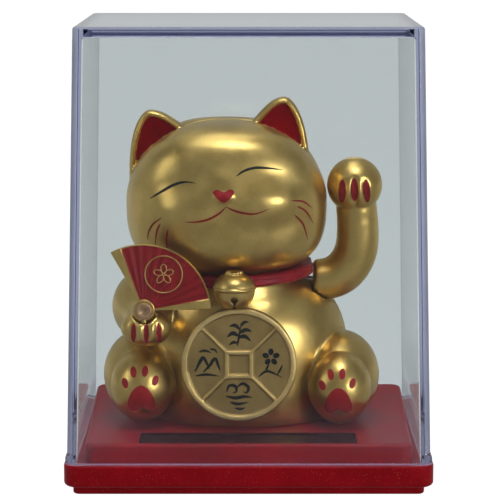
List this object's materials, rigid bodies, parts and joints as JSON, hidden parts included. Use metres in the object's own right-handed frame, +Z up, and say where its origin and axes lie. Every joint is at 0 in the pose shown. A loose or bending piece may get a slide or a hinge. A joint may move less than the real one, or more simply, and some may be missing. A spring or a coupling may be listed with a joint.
{
  "type": "beckoning cat figurine",
  "caption": "Gold beckoning cat with a swinging paw, coin and fan, on a red solar base under a clear lift-off display cover.",
  "frame": {"origin": "centre of the underside of the base", "axes": "+Z up, the cat faces -Y, +X is the viewer's right when facing the cat"},
  "size_m": [0.082, 0.066, 0.1031],
  "materials": {
    "clear_plastic": "clear glossy polystyrene",
    "red_plastic": "glossy red with fine gold glitter",
    "gold_paint": "satin metallic gold paint on plastic",
    "coin_gold": "satin gold paint, darker in the hollows",
    "red_paint": "satin red paint",
    "fan_red": "satin red with gold edges",
    "solar_glass": "dark glossy strip",
    "steel": "bright",
    "magnet": "nickel plated",
    "copper_wire": "enamelled copper",
    "board_green": "satin solder mask",
    "white_plastic": "moulded",
    "black_plastic": "moulded",
    "lead_red": "insulation"
  },
  "bodies": {
    "base": {"base_upper": "red_plastic", "base_lower": "red_plastic", "base_screw_1": "steel", "base_screw_2": "steel", "base_screw_3": "steel", "base_screw_4": "steel", "cat_screw_1": "steel", "cat_screw_2": "steel", "frame_screw_1": "steel", "frame_screw_2": "steel", "solar_cell": "solar_glass", "circuit_board": "board_green", "coil_bobbin": "white_plastic", "coil_winding": "copper_wire", "storage_capacitor": "black_plastic", "controller_chip": "black_plastic", "lead_wire_red": "lead_red", "lead_wire_black": "black_plastic", "body_front_shell": "gold_paint", "body_rear_shell": "gold_paint", "collar": "red_paint", "bell": "gold_paint", "coin": "coin_gold", "fan": "fan_red", "fan_rivet": "gold_paint", "pivot_frame": "white_plastic"},
    "arm": {"arm_front_half": "gold_paint", "arm_rear_half": "gold_paint", "arm_axle": "steel", "pendulum_lever": "white_plastic", "pendulum_magnet": "magnet"},
    "cover": {"display_cover": "clear_plastic"}
  },
  "joints": [
    {"name": "arm_swing", "type": "hinge", "parent": "base", "child": "arm", "pos_m": [0.016, 0.002, 0.0427], "axis": [1, 0, 0], "range_deg": [-20, 20]},
    {"name": "cover_lift", "type": "slide", "parent": "base", "child": "cover", "axis": [0, 0, 1], "range_m": [0, 0.1]}
  ]
}
